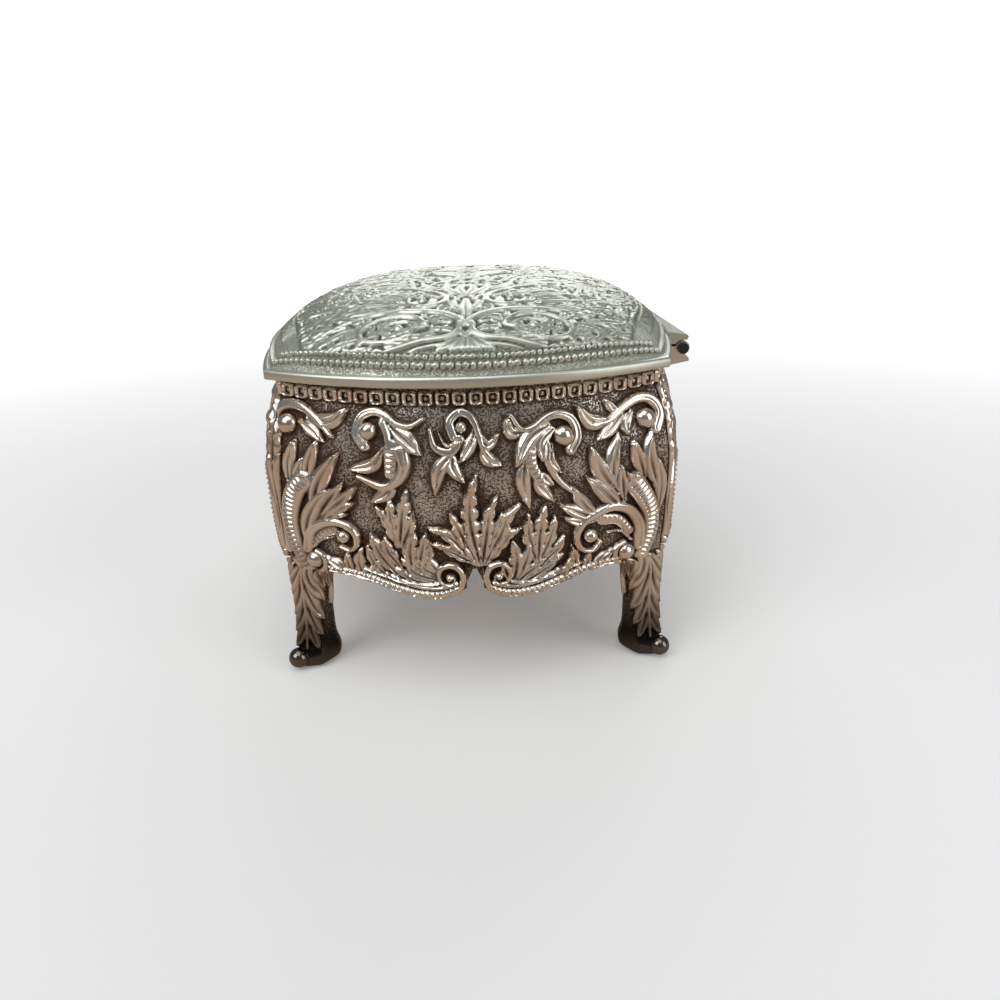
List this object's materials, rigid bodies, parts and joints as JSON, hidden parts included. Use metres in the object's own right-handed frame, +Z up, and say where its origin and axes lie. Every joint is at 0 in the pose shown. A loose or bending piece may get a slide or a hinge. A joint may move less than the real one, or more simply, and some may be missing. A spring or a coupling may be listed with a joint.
{
  "type": "rosary box",
  "caption": "Footed casket of cast, silver-finished metal with bowed walls, scroll relief, cabriole legs and a domed lid on a back hinge.",
  "frame": {"origin": "on the floor plane under the middle of the whole box, hinge included", "axes": "+X from the front to the hinge at the back, +Y along the box from the right end to the left end, +Z up"},
  "size_m": [0.1076, 0.1304, 0.0896],
  "materials": {
    "case_silver": "silver-finished cast white metal, bright on the relief with brown-black patina in the recesses",
    "lid_silver": "silver-finished cast white metal, pale satin with grey-green patina in the recesses",
    "pin_steel": "dark, oxidised steel wire",
    "velvet": "short-pile velvet"
  },
  "bodies": {
    "case": {"front_wall": "case_silver", "back_wall": "case_silver", "right_end_wall": "case_silver", "left_end_wall": "case_silver", "leg_front_right": "case_silver", "leg_back_right": "case_silver", "leg_front_left": "case_silver", "leg_back_left": "case_silver", "base_plate": "case_silver", "case_hinge_leaf": "case_silver", "hinge_pin": "pin_steel", "floor_lining": "velvet", "front_lining": "velvet", "back_lining": "velvet", "right_end_lining": "velvet", "left_end_lining": "velvet"},
    "lid": {"lid_shell": "lid_silver", "lid_hinge_leaf": "lid_silver", "lid_lining": "velvet"}
  },
  "joints": [
    {"name": "lid_hinge", "type": "hinge", "parent": "case", "child": "lid", "pos_m": [0.05202, 0, 0.0716], "axis": [0, 1, 0], "range_deg": [0, 115]}
  ]
}
